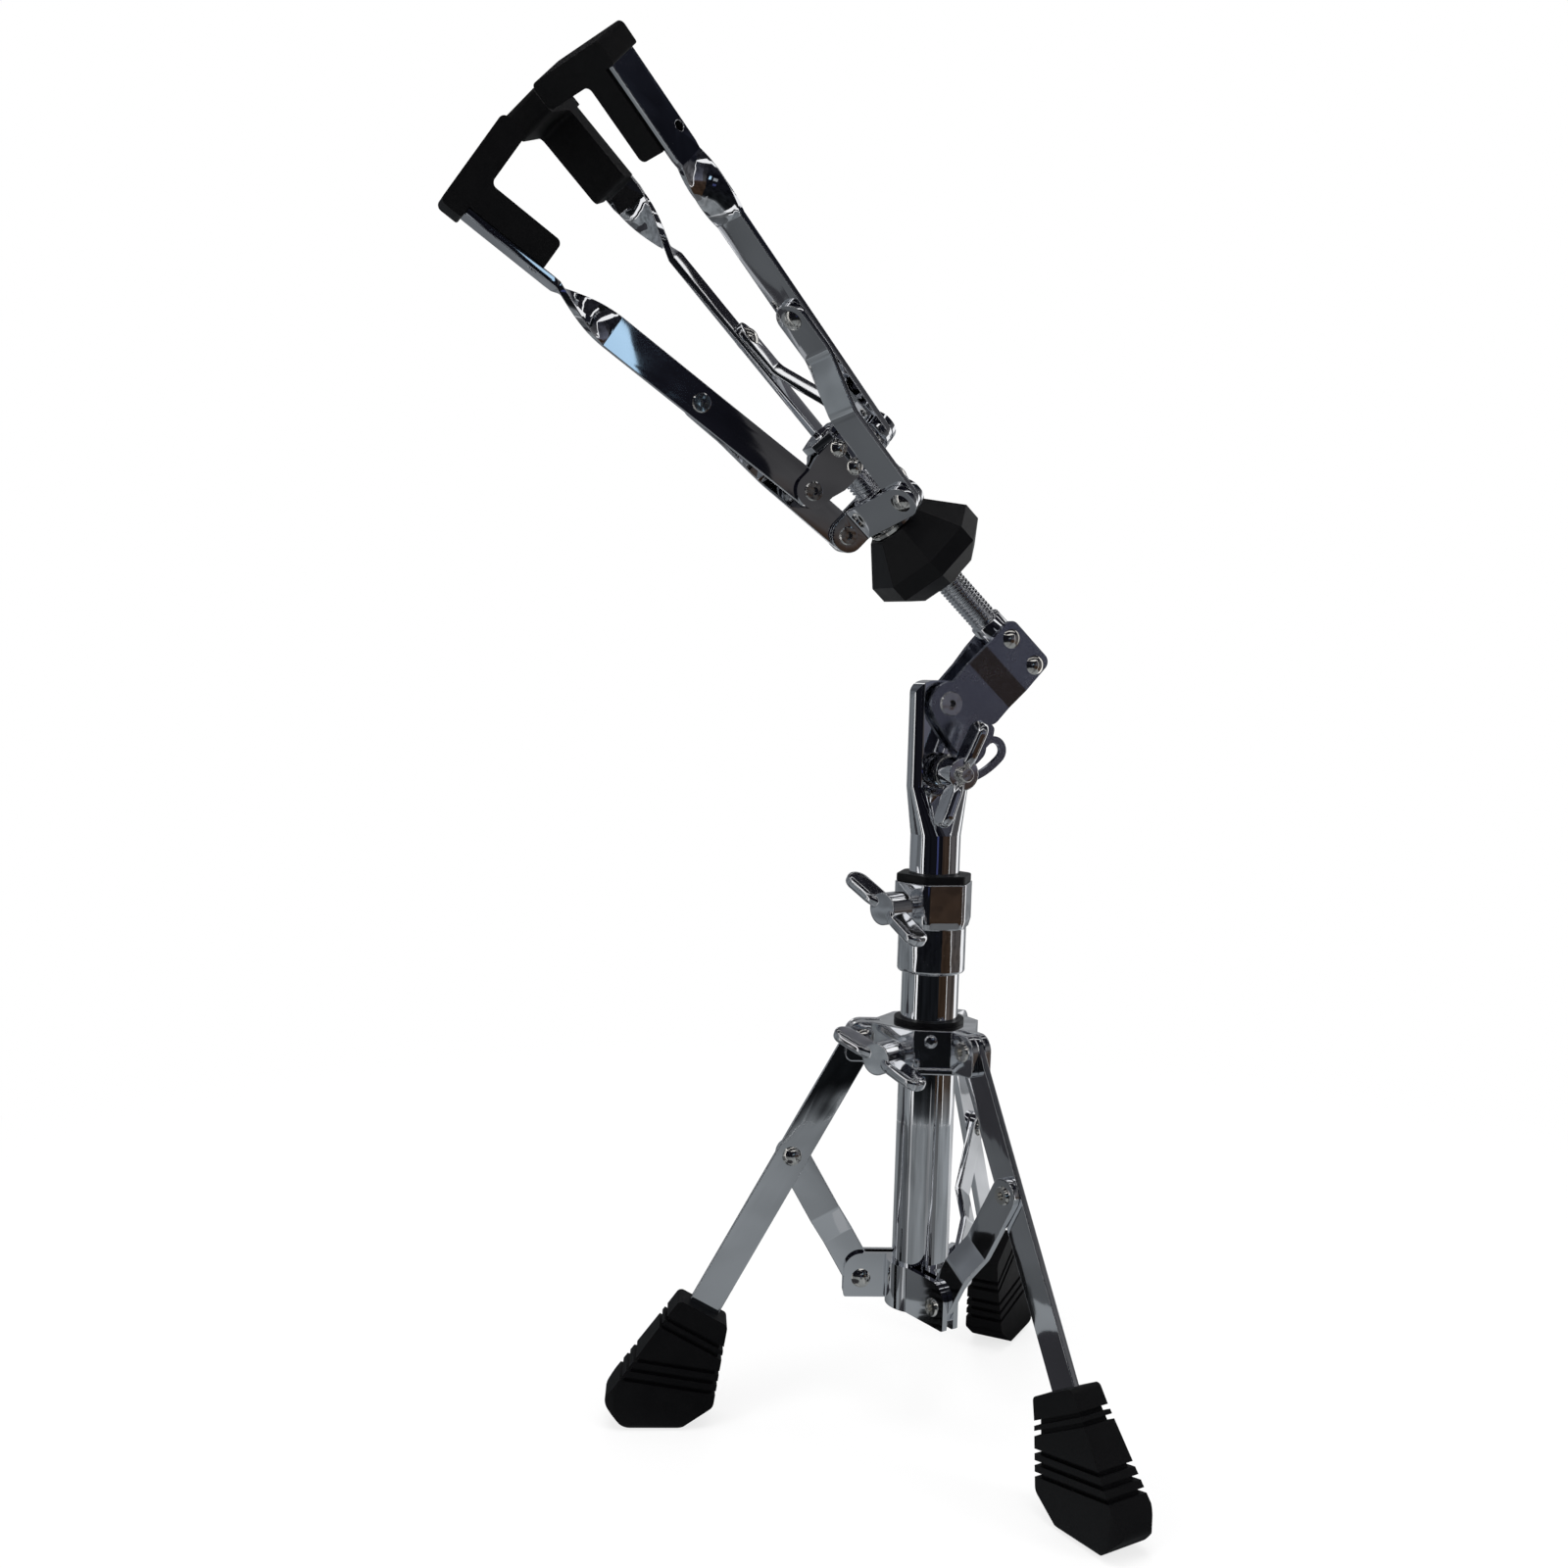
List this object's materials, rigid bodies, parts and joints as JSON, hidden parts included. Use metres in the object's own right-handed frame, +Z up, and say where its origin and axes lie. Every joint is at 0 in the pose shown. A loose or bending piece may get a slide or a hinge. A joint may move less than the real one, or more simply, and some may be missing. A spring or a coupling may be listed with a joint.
{
  "type": "snare drum stand",
  "caption": "Chrome folding tripod stand for a snare drum, with a telescopic column, a slotted tilter and a knob-driven basket of rubber-tipped arms.",
  "frame": {"origin": "on the floor under the column's axis, amid the boots", "axes": "+Z up along the column, the head tilting about Y and leaning towards -X"},
  "size_m": [0.3321, 0.236, 0.5751],
  "materials": {
    "chrome": "bright chrome plate",
    "chrome_casting": "chrome plated casting",
    "tilter_steel": "plated pressed steel",
    "rivet_steel": "plated rivet steel",
    "black_rubber": "matt moulded rubber",
    "black_plastic": "matt moulded plastic"
  },
  "bodies": {
    "column": {"lower_tube": "chrome", "collar_plate_1": "chrome", "collar_plate_2": "chrome", "collar_plate_3": "chrome", "collar_rivets": "rivet_steel", "height_clamp": "chrome_casting", "height_bush": "black_plastic"},
    "hub": {"leg_hub": "chrome_casting", "hub_bush": "black_plastic", "hub_rivets": "rivet_steel"},
    "hub_screw": {"hub_wing_bolt": "chrome_casting"},
    "height_screw": {"height_wing_bolt": "chrome_casting"},
    "mast": {"upper_tube": "chrome", "guide_plug": "black_plastic", "tilt_bolt": "rivet_steel", "tilt_washers": "rivet_steel"},
    "tilt_nut": {"tilt_wing_nut": "chrome_casting"},
    "head": {"tilt_plate_front": "tilter_steel", "tilt_plate_back": "tilter_steel", "quadrant_front": "tilter_steel", "quadrant_back": "tilter_steel", "pivot_rivet": "rivet_steel", "rod_rivets": "rivet_steel", "basket_rod": "chrome", "upper_block": "chrome", "upper_plates": "chrome", "upper_rivets": "rivet_steel", "arm_pins": "rivet_steel", "rod_nut": "chrome"},
    "runner": {"runner_sleeve": "chrome", "runner_plates": "chrome", "runner_pins": "rivet_steel", "knob_washer": "rivet_steel"},
    "knob_body": {"knob": "black_plastic", "knob_insert": "rivet_steel"},
    "leg_1_body": {"leg_1": "chrome", "foot_1": "black_rubber", "leg_rivet_1": "rivet_steel"},
    "brace_1_body": {"brace_1": "chrome"},
    "arm_1_body": {"arm_1": "chrome", "grip_1": "black_rubber", "arm_rivet_1": "rivet_steel"},
    "link_1_body": {"link_1": "chrome"},
    "leg_2_body": {"leg_2": "chrome", "foot_2": "black_rubber", "leg_rivet_2": "rivet_steel"},
    "brace_2_body": {"brace_2": "chrome"},
    "arm_2_body": {"arm_2": "chrome", "grip_2": "black_rubber", "arm_rivet_2": "rivet_steel"},
    "link_2_body": {"link_2": "chrome"},
    "leg_3_body": {"leg_3": "chrome", "foot_3": "black_rubber", "leg_rivet_3": "rivet_steel"},
    "brace_3_body": {"brace_3": "chrome"},
    "arm_3_body": {"arm_3": "chrome", "grip_3": "black_rubber", "arm_rivet_3": "rivet_steel"},
    "link_3_body": {"link_3": "chrome"}
  },
  "joints": [
    {"name": "hub_slide", "type": "slide", "parent": "column", "child": "hub", "axis": [0, 0, 1], "range_m": [-0.0048, 0.0143]},
    {"name": "hub_screw_turn", "type": "hinge", "parent": "hub", "child": "hub_screw", "pos_m": [0, 0, 0.1728], "axis": [-0.8813, -0.4726, 0], "continuous": true},
    {"name": "height_screw_turn", "type": "hinge", "parent": "column", "child": "height_screw", "pos_m": [0, 0, 0.2366], "axis": [-0.9272, -0.3746, 0], "continuous": true},
    {"name": "height_slide", "type": "slide", "parent": "column", "child": "mast", "axis": [0, 0, 1], "range_m": [-0.012, 0.1]},
    {"name": "tilt_nut_turn", "type": "hinge", "parent": "mast", "child": "tilt_nut", "pos_m": [0, 0, 0.2955], "axis": [0, 1, 0], "continuous": true},
    {"name": "tilt", "type": "hinge", "parent": "mast", "child": "head", "pos_m": [0, 0, 0.3251], "axis": [0, 1, 0], "range_deg": [0, 47]},
    {"name": "runner_slide", "type": "slide", "parent": "head", "child": "runner", "axis": [0.7396, 0, -0.673], "range_m": [0, 0.01219]},
    {"name": "knob_turn", "type": "hinge", "parent": "runner", "child": "knob_body", "pos_m": [-0.00945, 0, 0.389], "axis": [0.7396, 0, -0.673], "range_deg": [0, 2515]},
    {"name": "leg_1_swing", "type": "hinge", "parent": "hub", "child": "leg_1_body", "pos_m": [-0.02821, 0.0096, 0.1764], "axis": [0.3223, 0.9466, 0], "range_deg": [-18.2, 6]},
    {"name": "brace_1_swing", "type": "hinge", "parent": "leg_1_body", "child": "brace_1_body", "pos_m": [-0.055, 0.0221, 0.12181], "axis": [-0.3223, -0.9466, 0], "range_deg": [-35.2, 11.8]},
    {"name": "arm_1_swing", "type": "hinge", "parent": "head", "child": "arm_1_body", "pos_m": [-0.04348, -0.01633, 0.43764], "axis": [0.6213, 0.3843, 0.6828], "range_deg": [-0.2, 50.2]},
    {"name": "link_1_swing", "type": "hinge", "parent": "arm_1_body", "child": "link_1_body", "pos_m": [-0.08602, -0.02598, 0.47747], "axis": [0.6213, 0.3843, 0.6828], "range_deg": [-19.6, 0.3]},
    {"name": "leg_2_swing", "type": "hinge", "parent": "hub", "child": "leg_2_body", "pos_m": [0.00579, -0.02923, 0.1764], "axis": [-0.981, -0.1942, 0], "range_deg": [-18.3, 6.1]},
    {"name": "brace_2_swing", "type": "hinge", "parent": "leg_2_body", "child": "brace_2_body", "pos_m": [0.00836, -0.05869, 0.12181], "axis": [0.981, 0.1942, 0], "range_deg": [-35.2, 11.8]},
    {"name": "arm_2_swing", "type": "hinge", "parent": "head", "child": "arm_2_body", "pos_m": [-0.04716, 0.01949, 0.43359], "axis": [-0.5347, 0.6074, -0.5876], "range_deg": [-0.2, 50.2]},
    {"name": "link_2_swing", "type": "hinge", "parent": "arm_2_body", "child": "link_2_body", "pos_m": [-0.08492, 0.02503, 0.47869], "axis": [-0.5347, 0.6074, -0.5876], "range_deg": [-19.6, 0.3]},
    {"name": "leg_3_swing", "type": "hinge", "parent": "hub", "child": "leg_3_body", "pos_m": [0.02242, 0.01963, 0.1764], "axis": [0.6587, -0.7524, 0], "range_deg": [-18.3, 6.1]},
    {"name": "brace_3_swing", "type": "hinge", "parent": "leg_3_body", "child": "brace_3_body", "pos_m": [0.04665, 0.03658, 0.12181], "axis": [-0.6587, 0.7524, 0], "range_deg": [-35.2, 11.8]},
    {"name": "arm_3_swing", "type": "hinge", "parent": "head", "child": "arm_3_body", "pos_m": [-0.0662, -0.00316, 0.41267], "axis": [-0.0867, -0.9917, -0.0953], "range_deg": [-0.2, 50.2]},
    {"name": "link_3_swing", "type": "hinge", "parent": "arm_3_body", "child": "link_3_body", "pos_m": [-0.1152, 0.00095, 0.4454], "axis": [-0.0867, -0.9917, -0.0953], "range_deg": [-19.6, 0.3]}
  ],
  "couplings": [
    {"joint": "hub_slide", "follows": "leg_1_swing", "m_per_rad": -0.044527},
    {"joint": "knob_turn", "follows": "runner_slide", "rad_per_m": 3590.4},
    {"joint": "brace_1_swing", "follows": "leg_1_swing", "ratio": 1.9172},
    {"joint": "arm_1_swing", "follows": "runner_slide", "rad_per_m": 71.567},
    {"joint": "link_1_swing", "follows": "runner_slide", "rad_per_m": -27.582},
    {"joint": "leg_2_swing", "follows": "leg_1_swing", "ratio": 1},
    {"joint": "brace_2_swing", "follows": "leg_1_swing", "ratio": 1.9172},
    {"joint": "arm_2_swing", "follows": "runner_slide", "rad_per_m": 71.567},
    {"joint": "link_2_swing", "follows": "runner_slide", "rad_per_m": -27.582},
    {"joint": "leg_3_swing", "follows": "leg_1_swing", "ratio": 1},
    {"joint": "brace_3_swing", "follows": "leg_1_swing", "ratio": 1.9172},
    {"joint": "arm_3_swing", "follows": "runner_slide", "rad_per_m": 71.567},
    {"joint": "link_3_swing", "follows": "runner_slide", "rad_per_m": -27.582}
  ]
}
